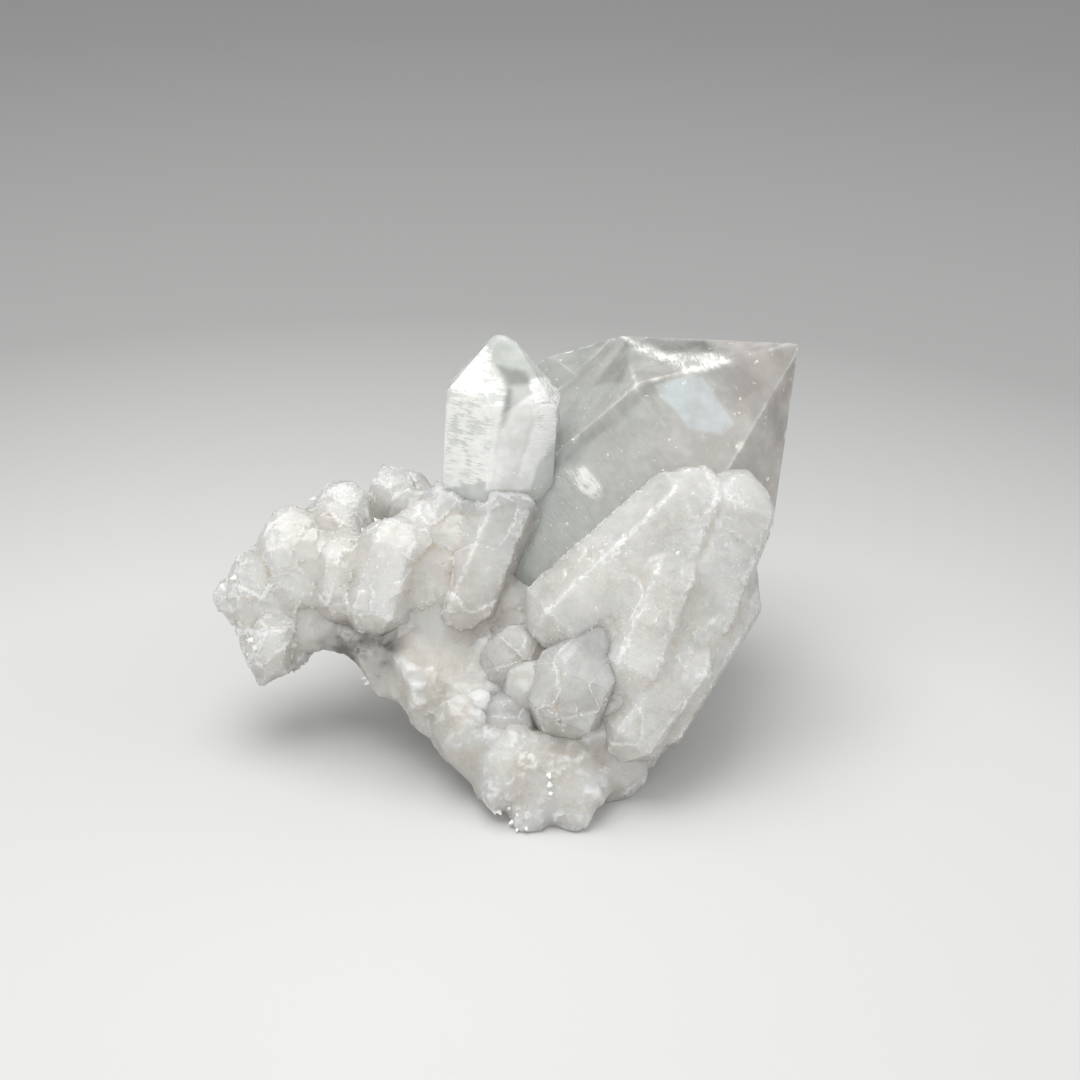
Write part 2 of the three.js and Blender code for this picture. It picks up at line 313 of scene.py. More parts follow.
def put_places(mesh, places):
    mesh.vertices.foreach_set("co", places.ravel())
    mesh.update()


def put_values(mesh, name, values):
    layer = mesh.attributes.new(name, "FLOAT", "POINT")
    layer.data.foreach_set("value", np.asarray(values, np.float32))


def averaged(values, pairs, times, share=0.5):
    """Values after being drawn towards the mean of their neighbours."""
    count = np.bincount(pairs.ravel(), minlength=len(values)).astype(float)
    count[count == 0] = 1
    values = values.reshape(len(values), -1).astype(float)
    for _ in range(times):
        total = np.stack(
            [
                np.bincount(pairs[:, 0], values[pairs[:, 1], k], len(values))
                + np.bincount(pairs[:, 1], values[pairs[:, 0], k], len(values))
                for k in range(values.shape[1])
            ],
            axis=1,
        )
        values = values + share * (total / count[:, None] - values)
    return values


def filled(mesh, pairs, times, share=1.0):
    """Fills the grooves of a mesh a little at a time, where share asks for it, and leaves its ridges as they are."""
    for _ in range(times):
        places = places_of(mesh)
        normals = normals_of(mesh)
        sunk = ((averaged(places, pairs, 1, 1.0) - places) * normals).sum(1)
        put_places(mesh, places + normals * (share * np.maximum(sunk, 0))[:, None])


def ridges(mesh, pairs, times=3):
    """How sharply the surface stands out at each point, from -1 in a crease to 1 on an edge."""
    places = places_of(mesh)
    sunk = ((places - averaged(places, pairs, 1, 1.0)) * normals_of(mesh)).sum(1)
    span = np.linalg.norm(places[pairs[:, 0]] - places[pairs[:, 1]], axis=1).mean()
    return np.clip(averaged(sunk / span, pairs, times)[:, 0] * 6, -1, 1)


def plain_arrays(mesh):
    """The mesh's corners and triangles as arrays."""
    bm = bmesh.new()
    bm.from_mesh(mesh)
    bmesh.ops.triangulate(bm, faces=bm.faces)
    arrays = np.array([v.co for v in bm.verts]), np.array([[v.index for v in f.verts] for f in bm.faces])
    bm.free()
    return arrays


def welded(node):
    """The node's own mesh with its doubles merged, as a bmesh."""
    bm = bmesh.new()
    bm.from_mesh(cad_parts[node].data)
    bmesh.ops.remove_doubles(bm, verts=bm.verts, dist=WELD)
    return bm


def new_object(name, mesh):
    piece = bpy.data.objects.new(name, mesh)
    bpy.context.scene.collection.objects.link(piece)
    return piece


def settled(piece):
    """The piece's mesh with its modifiers worked in."""
    graph = bpy.context.evaluated_depsgraph_get()
    done = bpy.data.meshes.new_from_object(piece.evaluated_get(graph), depsgraph=graph)
    piece.modifiers.clear()
    piece.data = done
    return done


def even_faces(name, bm, step):
    """A new object with the closed shapes in bm joined in one skin of small even faces."""
    mesh = bpy.data.meshes.new(name)
    bm.to_mesh(mesh)
    bm.free()
    piece = new_object(name, mesh)
    remeshed(piece, step)
    return piece


def remeshed(piece, step):
    """Joins whatever crosses itself in the piece in one skin of small even faces."""
    remesh = piece.modifiers.new("Even faces", "REMESH")
    remesh.mode = "VOXEL"
    remesh.voxel_size = step
    remesh.adaptivity = 0
    return settled(piece)


def mortar(nodes, step, times, sink):
    """A smooth body that fills the crevices between the nodes' crystals and stays just under their faces."""
    bm = bmesh.new()
    for node in nodes:
        bm.from_mesh(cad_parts[node].data)
    bmesh.ops.remove_doubles(bm, verts=bm.verts, dist=WELD)
    piece = even_faces("mortar", bm, step)
    mesh = piece.data
    filled(mesh, pairs_of(mesh), times)
    put_places(mesh, places_of(mesh) - sink * normals_of(mesh))
    bpy.data.objects.remove(piece)
    return mesh


def fine_skin(name, node, step, lumps=(), filler=None):
    """A new object with the node's shape, and round lumps and a filler grown on it, as an even mesh of small faces."""
    bm = welded(node)
    if filler:
        bm.from_mesh(filler)
    for place, radii in lumps:
        size = Matrix.Diagonal((*radii, 1.0))
        bmesh.ops.create_icosphere(bm, subdivisions=3, radius=1.0, matrix=Matrix.Translation(place) @ size)
    return even_faces(name, bm, step)


def split_long(places, faces, step):
    """Triangles cut at the middle of every edge longer than step, until none is left."""
    while True:
        sides = np.sort(np.concatenate([faces[:, [0, 1]], faces[:, [1, 2]], faces[:, [2, 0]]]), axis=1)
        edges, back = np.unique(sides, axis=0, return_inverse=True)
        ends = places[edges]
        long = np.linalg.norm(ends[:, 0] - ends[:, 1], axis=1) > step
        if not long.any():
            return places, faces
        middle = np.full(len(edges), -1)
        middle[long] = len(places) + np.arange(long.sum())
        places = np.concatenate([places, ends[long].mean(axis=1)])
        cut = middle[back.reshape(3, -1)].T
        count = (cut >= 0).sum(axis=1)
        # each face is turned so that its cut edges come first
        turn = np.where(count == 1, np.argmax(cut >= 0, axis=1), np.argmin(cut >= 0, axis=1) + 1)
        order = (np.arange(3) + turn[:, None]) % 3
        a, b, c = np.take_along_axis(faces, order, axis=1).T
        ab, bc, ca = np.take_along_axis(cut, order, axis=1).T
        once, twice, thrice = count == 1, count == 2, count == 3
        parts = [faces[count == 0]]
        for chosen, corners in (
            (once, (a, ab, c)),
            (once, (ab, b, c)),
            (twice, (ab, b, bc)),
            (twice, (a, ab, bc)),
            (twice, (a, bc, c)),
            (thrice, (a, ab, ca)),
            (thrice, (ab, b, bc)),
            (thrice, (ca, bc, c)),
            (thrice, (ab, bc, ca)),
        ):
            parts.append(np.stack([corner[chosen] for corner in corners], axis=1))
        faces = np.concatenate(parts)


def sharp_skin(name, node, step, bevel):
    """A new object with the node's flat faces kept flat, its edges bevelled, cut into small triangles."""
    bm = welded(node)
    bmesh.ops.dissolve_limit(bm, angle_limit=math.radians(1), verts=bm.verts, edges=bm.edges)
    edges = [e for e in bm.edges if e.is_manifold and e.calc_face_angle() > math.radians(12)]
    rims = [(e.verts[0].co.copy(), e.verts[1].co.copy()) for e in edges]
    bmesh.ops.bevel(bm, geom=edges, offset=bevel, segments=2, profile=0.5, affect="EDGES", clamp_overlap=True)
    bmesh.ops.triangulate(bm, faces=bm.faces)
    places = np.array([v.co for v in bm.verts])
    faces = np.array([[v.index for v in f.verts] for f in bm.faces])
    bm.free()
    places, faces = split_long(places, faces, step)
    mesh = bpy.data.meshes.new(name)
    mesh.from_pydata(places, [], faces)
    return new_object(name, mesh), rims


def rim_distance(places, rims, step):
    """How far each place is from the nearest of the straight edges."""
    spots = []
    for a, b in rims:
        count = max(1, int((b - a).length / step))
        spots += [a.lerp(b, i / count) for i in range(count + 1)]
    tree = KDTree(len(spots))
    for i, spot in enumerate(spots):
        tree.insert(spot, i)
    tree.balance()
    return np.array([tree.find(place)[2] for place in places])


def climbed(places, others, reach, rise):
    """How much further out the rock stands at each place where other pieces stand in it."""
    spots = [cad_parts[node].data for node in others]
    spots = np.concatenate([split_long(*plain_arrays(mesh), 2 * MM)[0] for mesh in spots])
    tree = KDTree(len(spots))
    for i, spot in enumerate(spots):
        tree.insert(spot, i)
    tree.balance()
    away = np.array([tree.find(place)[2] for place in places])
    return rise * smooth_step(reach, 0.3 * reach, away)


def rest_on_floor(places):
    """Keeps what the displacement pushed down above the surface that the cluster lies on."""
    places[:, 2] = np.maximum(places[:, 2], 0.0)


def painted_underside_shade(places, normals):
    """How much painted shade there is at each place: most under the arch on the left, less on other undersides that
    face down.
    """
    away = np.linalg.norm((places - np.array(ARCH_SHADE_MIDDLE)) / np.array((1.7, 1.6, 1.0)), axis=1)
    underside = smooth_step(0.2, -0.5, normals[:, 2])
    return np.clip(smooth_step(8 * MM, 4 * MM, away) + 0.12 * underside, 0, 1)


def finish_piece(piece, node, material, sharp=None):
    mesh = piece.data
    mesh.materials.clear()
    mesh.materials.append(material)
    mesh.shade_smooth()
    if sharp:
        mesh.set_sharp_from_angle(angle=math.radians(sharp))
    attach(piece, "root")
    if node:
        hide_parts(node)


# Material recipes
class Recipe:
    """A node material being put together."""

    def __init__(self, name):
        self.material = bpy.data.materials.new(name)
        self.material.use_nodes = True
        self.tree = self.material.node_tree
        self.tree.nodes.clear()
        self.where = self.node("ShaderNodeTexCoord").outputs["Object"]

    def node(self, kind, settings=None, **inputs):
        made = self.tree.nodes.new(kind)
        for key, value in (settings or {}).items():
            setattr(made, key, value)
        for key, value in inputs.items():
            self.feed(made.inputs[key.replace("_", " ")], value)
        return made

    def feed(self, socket, value):
        if isinstance(value, bpy.types.NodeSocket):
            self.tree.links.new(value, socket)
        else:
            socket.default_value = value

    def attribute(self, name):
        return self.node("ShaderNodeAttribute", {"attribute_name": name}).outputs["Fac"]

    def noise(self, size, detail=3.0, roughness=0.5, distortion=0.0, where=None):
        made = self.node(
            "ShaderNodeTexNoise",
            Vector=where or self.where,
            Scale=1 / size,
            Detail=detail,
            Roughness=roughness,
            Distortion=distortion,
        )
        return made.outputs["Fac"]

    def along(self, axis, stretch):
        """Coordinates squeezed along an axis, for bands that run across it."""
        turn = Vector(axis).to_track_quat("Z", "Y").to_euler()
        turned = self.node(
            "ShaderNodeVectorRotate", {"rotation_type": "EULER_XYZ", "invert": True}, Vector=self.where, Rotation=turn
        )
        return self.node("ShaderNodeMapping", Vector=turned.outputs[0], Scale=(1.0, 1.0, stretch)).outputs[0]

    def spread(self, value, low, high, to_low=0.0, to_high=1.0):
        made = self.node(
            "ShaderNodeMapRange",
            {"clamp": True},
            Value=value,
            From_Min=low,
            From_Max=high,
            To_Min=to_low,
            To_Max=to_high,
        )
        return made.outputs[0]

    def maths(self, operation, a, b=0.5):
        made = self.node("ShaderNodeMath", {"operation": operation, "use_clamp": operation in ("ADD", "SUBTRACT")})
        self.feed(made.inputs[0], a)
        self.feed(made.inputs[1], b)
        return made.outputs[0]

    def mix(self, share, a, b):
        made = self.node("ShaderNodeMix", {"data_type": "RGBA"})
        self.feed(made.inputs["Factor"], share)
        for socket, colour in ((made.inputs[6], a), (made.inputs[7], b)):
            self.feed(socket, colour if isinstance(colour, bpy.types.NodeSocket) else (*colour, 1.0))
        return made.outputs[2]

    def bump(self, height, depth, after=None):
        made = self.node("ShaderNodeBump", Height=height, Distance=depth, Strength=1.0)
        if after:
            self.feed(made.inputs["Normal"], after)
        return made.outputs[0]

    def close(self, absorption=None, density=0.0, **inputs):
        shader = self.node("ShaderNodeBsdfPrincipled", **inputs)
        out = self.node("ShaderNodeOutputMaterial", Surface=shader.outputs[0])
        if absorption:
            inside = self.node("ShaderNodeVolumeAbsorption", Color=(*absorption, 1.0), Density=density)
            self.tree.links.new(inside.outputs[0], out.inputs["Volume"])
        return self.material


QUARTZ_IOR = 1.544


def clear_quartz(colours, name, axis, haze, tone, patch_tint, patch_milk):
    """Clear quartz with cloudy zones, cross striations, pale and dark marks, and frost on the edges."""
    recipe = Recipe(name)
    side = recipe.node("ShaderNodeSeparateXYZ", Vector=recipe.where).outputs["X"]
    drift = recipe.spread(side, 8 * MM, 52 * MM, -0.1, 1.1)
    zones = recipe.maths("ADD", drift, recipe.spread(recipe.noise(14 * MM, 1.0), 0.35, 0.65, -0.3, 0.3))
    wisps = recipe.noise(6 * MM, 2.0, 0.65)
    patch = recipe.maths("MULTIPLY", recipe.attribute("patch"), recipe.spread(wisps, 0.3, 0.6, 0.65, 1.0))
    specks = recipe.spread(recipe.noise(1.1 * MM, 2.0, 0.6), 0.68, 0.74)
    rim = recipe.attribute("rim")
    bands = recipe.noise(2.6 * MM, 3.0, 0.7, where=recipe.along(axis, 7.0))
    torn = recipe.spread(recipe.maths("MULTIPLY", bands, wisps), 0.18, 0.34)
    pale = recipe.maths("MULTIPLY", recipe.attribute("pale"), recipe.spread(torn, 0.0, 1.0, 0.2, 1.0))
    pale = recipe.maths("ADD", pale, recipe.maths("MULTIPLY", specks, 0.5))
    dark = recipe.attribute("dark")
    cloud = recipe.spread(wisps, 0.40, 0.80, 0.0, 0.25)
    milky = recipe.maths("ADD", recipe.maths("MULTIPLY", rim, 0.7), pale)
    milky = recipe.maths("ADD", recipe.maths("ADD", cloud, haze), milky)
    milky = recipe.maths("ADD", milky, recipe.maths("MULTIPLY", patch, patch_milk))
    milky = recipe.maths("SUBTRACT", milky, recipe.maths("MULTIPLY", dark, 0.5))
    cool, warm = ([tone * part for part in tint] for tint in (colours.clear_tint, colours.rose_tint))
    body = recipe.mix(zones, cool, warm)
    body = recipe.mix(patch, body, patch_tint)
    colour = recipe.mix(recipe.maths("ADD", rim, pale), body, tuple(colours.frost))
    colour = recipe.mix(recipe.maths("MULTIPLY", dark, 0.6), colour, tuple(colours.shade))
    relief = recipe.bump(bands, 0.10 * MM)
    relief = recipe.bump(recipe.noise(0.9 * MM, 1.0, 0.6), 0.03 * MM, after=relief)
    relief = recipe.bump(recipe.maths("MULTIPLY", torn, recipe.attribute("pale")), 0.25 * MM, after=relief)
    return recipe.close(
        absorption=(0.86, 0.85, 0.82),
        density=5.0,
        Base_Color=colour,
        Roughness=recipe.spread(recipe.maths("ADD", cloud, rim), 0.0, 1.0, 0.07, 0.4),
        IOR=QUARTZ_IOR,
        Transmission_Weight=recipe.spread(milky, 0.0, 1.0, 1.0, 0.05),
        Subsurface_Weight=1.0,
        Subsurface_Radius=(1.0, 0.97, 0.92),
        Subsurface_Scale=5.0 * MM,
        Normal=relief,
    )


def milky_quartz(colours, name, axis):
    """Milky quartz: cloudy inside, softly etched faces, pale crackle in patches, thin frosted edges, and painted shade
    in the creases and under the arch.
    """
    recipe = Recipe(name)
    zones = recipe.spread(recipe.noise(11 * MM, 1.0, 0.55), 0.25, 0.75)
    wisps = recipe.spread(recipe.noise(2.6 * MM, 2.0, 0.7), 0.25, 0.75)
    rim = recipe.attribute("rim")
    shade = recipe.attribute("shade")
    flocks = recipe.spread(recipe.noise(6 * MM, 2.0, 0.6), 0.53, 0.66)
    crackle = recipe.spread(recipe.noise(0.9 * MM, 3.0, 0.75), 0.55, 0.63)
    crackle = recipe.maths("MULTIPLY", crackle, flocks)
    pale = recipe.maths("MULTIPLY", crackle, 0.25)
    sugar_specks = recipe.noise(0.5 * MM, 2.0, 0.7)
    etched = recipe.spread(recipe.noise(9 * MM, 1.0), 0.42, 0.6)
    pale = recipe.maths(
        "ADD", pale, recipe.maths("MULTIPLY", etched, recipe.spread(sugar_specks, 0.52, 0.66, 0.0, 0.12))
    )
    pale = recipe.maths("ADD", pale, recipe.maths("MULTIPLY", rim, 0.6))
    drift = recipe.spread(recipe.noise(18 * MM, 0.0), 0.4, 0.6)
    warm = recipe.mix(drift, tuple(colours.milk), tuple(colours.rose_tint))
    body = recipe.mix(recipe.maths("MULTIPLY", zones, 0.5), warm, tuple(colours.frost))
    # painted shade: warm grey in the creases
    body = recipe.mix(recipe.maths("MULTIPLY", recipe.attribute("crease_shade_and_warm_tone"), 0.6), body, tuple(colours.crease_shade_and_warm_tone))
    # painted shade: greyer under the arch and on faces turned down
    body = recipe.mix(recipe.maths("MULTIPLY", shade, 0.8), body, tuple(colours.shade))
    colour = recipe.mix(pale, body, tuple(colours.frost))
    bands = recipe.noise(2.4 * MM, 2.0, 0.6, where=recipe.along(axis, 6.0))
    relief = recipe.bump(bands, 0.10 * MM)
    relief = recipe.bump(recipe.noise(0.8 * MM, 2.0, 0.7), 0.09 * MM, after=relief)
    share = recipe.maths("ADD", recipe.maths("MULTIPLY", zones, 0.35), recipe.maths("MULTIPLY", wisps, 0.25))
    share = recipe.maths("ADD", share, pale)
    return recipe.close(
        absorption=(0.84, 0.80, 0.77),
        density=12.0,
        Base_Color=colour,
        Roughness=recipe.spread(share, 0.0, 1.0, 0.15, 0.4),
        IOR=QUARTZ_IOR,
        Transmission_Weight=recipe.spread(share, 0.0, 1.0, 0.70, 0.15),
        Subsurface_Weight=1.0,
        Subsurface_Radius=(1.0, 0.94, 0.88),
        Subsurface_Scale=6.0 * MM,
        Normal=relief,
    )


def sugary_rock(colours, name):
    """Broken white quartz rock with random grey specks, painted shade in grey patches where the shade attribute is
    high, and painted shade in its creases.
    """
    recipe = Recipe(name)
    patches = recipe.noise(7 * MM, 2.0, 0.6)
    specks = recipe.noise(1.3 * MM, 3.0, 0.7)
    rim = recipe.attribute("rim")
    shade = recipe.attribute("shade")
    # painted shade under the arch and on faces turned down, in patches, with random grey specks added below
    painted_shade_and_specks = recipe.maths("MULTIPLY", shade, recipe.spread(patches, 0.38, 0.58, 0.5, 1.0))
    painted_shade_and_specks = recipe.maths("ADD", painted_shade_and_specks, recipe.spread(specks, 0.62, 0.72, 0.0, 0.25))
    # random warm patches of the same warm grey, a tone of the rock itself
    body = recipe.mix(recipe.spread(patches, 0.45, 0.75), tuple(colours.milk), tuple(colours.crease_shade_and_warm_tone))
    # painted shade: warm grey in the creases
    body = recipe.mix(recipe.maths("MULTIPLY", recipe.attribute("crease_shade_and_warm_tone"), 0.7), body, tuple(colours.crease_shade_and_warm_tone))
    sugar_specks = recipe.noise(0.55 * MM, 2.0, 0.7)
    pale = recipe.maths("ADD", rim, recipe.spread(sugar_specks, 0.50, 0.62, 0.0, 0.55))
    colour = recipe.mix(pale, body, tuple(colours.frost))
    colour = recipe.mix(painted_shade_and_specks, colour, tuple(colours.shade))
    relief = recipe.bump(specks, 0.25 * MM)
    relief = recipe.bump(sugar_specks, 0.14 * MM, after=relief)
    return recipe.close(
        Base_Color=colour,
        Roughness=recipe.spread(specks, 0.3, 0.7, 0.35, 0.65),
        IOR=QUARTZ_IOR,
        Transmission_Weight=recipe.spread(recipe.maths("ADD", painted_shade_and_specks, rim), 0.0, 0.8, 0.55, 0.15),
        Subsurface_Weight=1.0,
        Subsurface_Radius=(1.0, 0.95, 0.88),
        Subsurface_Scale=5.0 * MM,
        Normal=relief,
    )


def sugar(colours, name):
    """Small frosted grains."""
    recipe = Recipe(name)
    tone = recipe.mix(recipe.noise(5 * MM, 3.0), tuple(colours.milk), tuple(colours.frost))
    return recipe.close(
        Base_Color=tone,
        Roughness=0.25,
        IOR=QUARTZ_IOR,
        Transmission_Weight=0.15,
    )


def grain_tree(name):
    """Geometry Nodes that put small six-sided points on a surface where its sugar attribute asks for them."""
    tree = bpy.data.node_groups.new(name, "GeometryNodeTree")
    kinds = {"Geometry": "Geometry", "Density": "Float", "Size": "Float", "Seed": "Int", "Material": "Material"}
    for title, kind in kinds.items():
        tree.interface.new_socket(title, in_out="INPUT", socket_type="NodeSocket" + kind)
    tree.interface.new_socket("Geometry", in_out="OUTPUT", socket_type="NodeSocketGeometry")

    def node(kind, settings=None, **inputs):
        made = tree.nodes.new(kind)
        for key, value in (settings or {}).items():
            setattr(made, key, value)
        for key, value in inputs.items():
            socket = made.inputs[key.replace("_", " ")]
            if isinstance(value, bpy.types.NodeSocket):
                tree.links.new(value, socket)
            else:
                socket.default_value = value
        return made

    given = node("NodeGroupInput").outputs
    sugary = node("GeometryNodeInputNamedAttribute", {"data_type": "FLOAT"}, Name="sugar")
    here = node("ShaderNodeMath", {"operation": "MULTIPLY"})
    tree.links.new(sugary.outputs["Attribute"], here.inputs[0])
    tree.links.new(given["Density"], here.inputs[1])
    spots = node(
        "GeometryNodeDistributePointsOnFaces", Mesh=given["Geometry"], Density=here.outputs[0], Seed=given["Seed"]
    )
    half = node("ShaderNodeMath", {"operation": "MULTIPLY"})
    tree.links.new(given["Size"], half.inputs[0])
    half.inputs[1].default_value = 0.5
    grain = node("GeometryNodeMeshCone", Vertices=6, Radius_Top=0.0, Radius_Bottom=half.outputs[0], Depth=given["Size"])
    stray = node("FunctionNodeRandomValue", {"data_type": "FLOAT_VECTOR"}, Seed=given["Seed"])
    stray.inputs[0].default_value = (-0.6, -0.6, 0.0)
    stray.inputs[1].default_value = (0.6, 0.6, 6.3)
    turn = node("FunctionNodeEulerToRotation", Euler=stray.outputs[0])
    turned = node(
        "FunctionNodeRotateRotation",
        {"rotation_space": "LOCAL"},
        Rotation=spots.outputs["Rotation"],
        Rotate_By=turn.outputs[0],
    )
    sizes = node("FunctionNodeRandomValue", {"data_type": "FLOAT"}, Seed=given["Seed"])
    sizes.inputs[2].default_value = 0.45
    sizes.inputs[3].default_value = 1.5
    placed = node(
        "GeometryNodeInstanceOnPoints",
        Points=spots.outputs["Points"],
        Instance=grain.outputs["Mesh"],
        Rotation=turned.outputs[0],
        Scale=sizes.outputs[1],
    )
    real = node("GeometryNodeRealizeInstances", Geometry=placed.outputs[0])
    done = node("GeometryNodeSetMaterial", Geometry=real.outputs[0], Material=given["Material"])
    node("NodeGroupOutput", Geometry=done.outputs[0])
    return tree


def paper_with_painted_light_pool(name, centre):
    """Pale paper with a painted pool of light: its colour falls off to grey in rings around a fixed point, as if away
    from the middle of the light.
    """
    recipe = Recipe(name)
    away = recipe.node("ShaderNodeVectorMath", {"operation": "DISTANCE"})
    recipe.feed(away.inputs[0], recipe.where)
    recipe.feed(away.inputs[1], centre)
    ramp = recipe.node("ShaderNodeValToRGB", Fac=recipe.spread(away.outputs["Value"], 0.0, 0.9))
    stops = ramp.color_ramp.elements
    # painted light: paper tones falling from pale to grey with distance from the fixed point
    painted_light_tones = ((0.0, 0.60), (0.17, 0.55), (0.33, 0.30), (0.62, 0.22), (1.0, 0.19))
    stops[0].position, stops[1].position = painted_light_tones[0][0], painted_light_tones[-1][0]
    for place, tone in painted_light_tones[1:-1]:
        stops.new(place)
    for stop, (place, tone) in zip(stops, painted_light_tones):
        stop.position = place
        stop.color = (tone, tone, tone * 0.99, 1)
    return recipe.close(Base_Color=ramp.outputs[0], Roughness=0.9)


# Pieces
def dress_mass(piece, node, material, seed, chip_depth, fill, spread_share, broad_size, broad_lift):
    """Grows a mass of milky crystals together, breaks their faces into facets and nicks their edges."""
    mesh = piece.data
    pairs = pairs_of(mesh)
    outward = smooth_step(GROWN_FROM, GROWN_TO, places_of(mesh)[:, 0])
    filled(mesh, pairs, fill, spread_share + (1 - spread_share) * outward)
    put_places(mesh, averaged(places_of(mesh), pairs, 1))
    places = places_of(mesh)
    flat = broken_flat(places, normals_of(mesh), 5 * MM, 0.7, seed + 40)
    put_places(mesh, places + flat * (outward * (node == "left_lobe"))[:, None])
    edge = ridges(mesh, pairs)
    places = places_of(mesh)
    broad = facets(places, broad_size, seed)
    narrow = facets(places, 2.2 * MM, seed + 15)
    rough = smooth_step(-0.1, 0.5, clouds(places, 10 * MM, 2, seed + 30))
    lift = 0.25 * MM + broad_lift * broad + (0.04 + 0.18 * rough) * MM * narrow
    near, which = cells(places, 1.6 * MM, seed + 9)
    nick = (which > 0.5) * smooth_step(0.75, 0.1, near) * smooth_step(0.15, 0.6, edge)
    lift -= chip_depth * nick
    others = [other for other in ("main_point", "upper_point") if node == "left_lobe"]
    if others:
        lift += climbed(places, others, 3 * MM, 0.8 * MM)
    places += normals_of(mesh) * lift[:, None]
    rest_on_floor(places)
    put_places(mesh, places)
    edge = ridges(mesh, pairs, 1)
    patchy = 0.5 + 0.5 * clouds(places, 3 * MM, 3, seed + 20)
    rim = smooth_step(0.25, 0.9, edge) * patchy + 0.25 * nick
    put_values(mesh, "rim", np.clip(rim, 0, 1))
    # where shade is painted in the creases
    put_values(mesh, "crease_shade_and_warm_tone", smooth_step(-0.04, -0.35, ridges(mesh, pairs, 10)))
    # where shade is painted: under the arch and on faces turned down
    put_values(mesh, "shade", painted_underside_shade(places, normals_of(mesh)))
    low = smooth_step(0.0, -0.6, normals_of(mesh)[:, 2]) + 0.5 * outward
    put_values(mesh, "sugar", low * smooth_step(0.1, 0.5, clouds(places, 8 * MM, 2, 12)))
    finish_piece(piece, node, material, sharp=30)


def dress_point(piece, rims, node, material, seed, chip_depth, pale, dark, patch, broken_share=0.0):
    """Waves the flat faces of a clear point a little, nicks its straight edges and sets its marks."""
    mesh = piece.data
    places = places_of(mesh)
    away = rim_distance(places, rims, 0.4 * MM)
    near, which = cells(places, 2.2 * MM, seed)
    run = smooth_step(-0.1, 0.5, clouds(places, 9 * MM, 2, seed + 3))
    nick = (which > 0.6) * smooth_step(0.7, 0.1, near) * smooth_step(0.9 * MM, 0.1 * MM, away) * run
    lift = 0.05 * MM * clouds(places, 8 * MM, 2, seed + 5) - chip_depth * nick
    broken = facets(places, 2.6 * MM, seed + 15)
    lift += 0.3 * MM * broken * marked(places, normals_of(mesh), pale[1:2], 8.0) * broken_share
    places += normals_of(mesh) * lift[:, None]
    rest_on_floor(places)
    put_places(mesh, places)
    frost = smooth_step(0.35 * MM, 0.0, away) * run * 0.3
    put_values(mesh, "rim", np.clip(frost + nick, 0, 1))
    put_values(mesh, "pale", marked(places, normals_of(mesh), pale, 3.5))
    put_values(mesh, "dark", marked(places, normals_of(mesh), dark, 3.5) * 0.4)
    put_values(mesh, "patch", marked(places, normals_of(mesh), patch, 2.0))
    finish_piece(piece, node, material, sharp=20)


class QuartzOperator:
    """What every operator of the cluster shares."""

    bl_options = {"REGISTER", "UNDO"}

    @classmethod
    def poll(cls, context):
        return context.scene is not None


class QUARTZ_OT_main_point(QuartzOperator, bpy.types.Operator):
    """Makes the large clear point from its solid"""

    bl_idname = "quartz.main_point"
    bl_label = "Main point"

    def execute(self, context):
        sizes, colours = context.scene.quartz_sizes, context.scene.quartz_colours
        axis = MAIN_TIP - MAIN_FOOT
        material = clear_quartz(colours, "clear_quartz_main", axis, 0.36, 0.78, (0.60, 0.64, 0.65), 0.35)
        piece, rims = sharp_skin("main_point_skin", "main_point", sizes.point_step, 0.12 * MM)
        dress_point(piece, rims, "main_point", material, 11, sizes.chip_depth, MAIN_PALE, MAIN_DARK, (BLUE_PATCH,))
        return {"FINISHED"}


class QUARTZ_OT_upper_point(QuartzOperator, bpy.types.Operator):
    """Makes the stubby upright point from its solid"""

    bl_idname = "quartz.upper_point"
    bl_label = "Upper point"

    def execute(self, context):
        sizes, colours = context.scene.quartz_sizes, context.scene.quartz_colours
        axis = UPPER_TIP - UPPER_FOOT
        material = clear_quartz(colours, "clear_quartz_upper", axis, 0.50, 1.03, (0.93, 0.925, 0.90), 0.3)
        piece, rims = sharp_skin("upper_point_skin", "upper_point", 0.5 * sizes.point_step, 0.15 * MM)
        marks = (UPPER_PALE, UPPER_DARK, (UPPER_BODY,))
        dress_point(piece, rims, "upper_point", material, 31, sizes.chip_depth, *marks, broken_share=1.0)
        return {"FINISHED"}


class QUARTZ_OT_crystal_groups(QuartzOperator, bpy.types.Operator):
    """Makes the groups of milky crystals from their solids"""

    bl_idname = "quartz.crystal_groups"
    bl_label = "Milky crystals"

    def execute(self, context):
        sizes, colours = context.scene.quartz_sizes, context.scene.quartz_colours
        fan = milky_quartz(colours, "milky_quartz_fan", FAN_AXIS)
        lobe = milky_quartz(colours, "milky_quartz_lobe", LOBE_AXIS)
        groups = (
            ("right_fan", fan, 51, 8, 0.6, 11 * MM, 0.2 * MM),
            ("left_lobe", lobe, 61, 25, 0.3, 8 * MM, 0.4 * MM),
            ("front_points", fan, 71, 0, 0.0, 9 * MM, 0.35 * MM),
            ("back_points", lobe, 81, 8, 0.4, 8 * MM, 0.3 * MM),
        )
        for node, material, seed, fill, spread_share, broad_size, broad_lift in groups:
            if fill:
                filler = mortar((node,), FILLER_STEP, 25, 0.5 * MM)
                piece = fine_skin(node + "_skin", node, sizes.crystal_step, filler=filler)
            else:
                piece = sharp_skin(node + "_skin", node, sizes.crystal_step, 0.15 * MM)[0]
            dress_mass(piece, node, material, seed, sizes.chip_depth, fill, spread_share, broad_size, broad_lift)
        return {"FINISHED"}


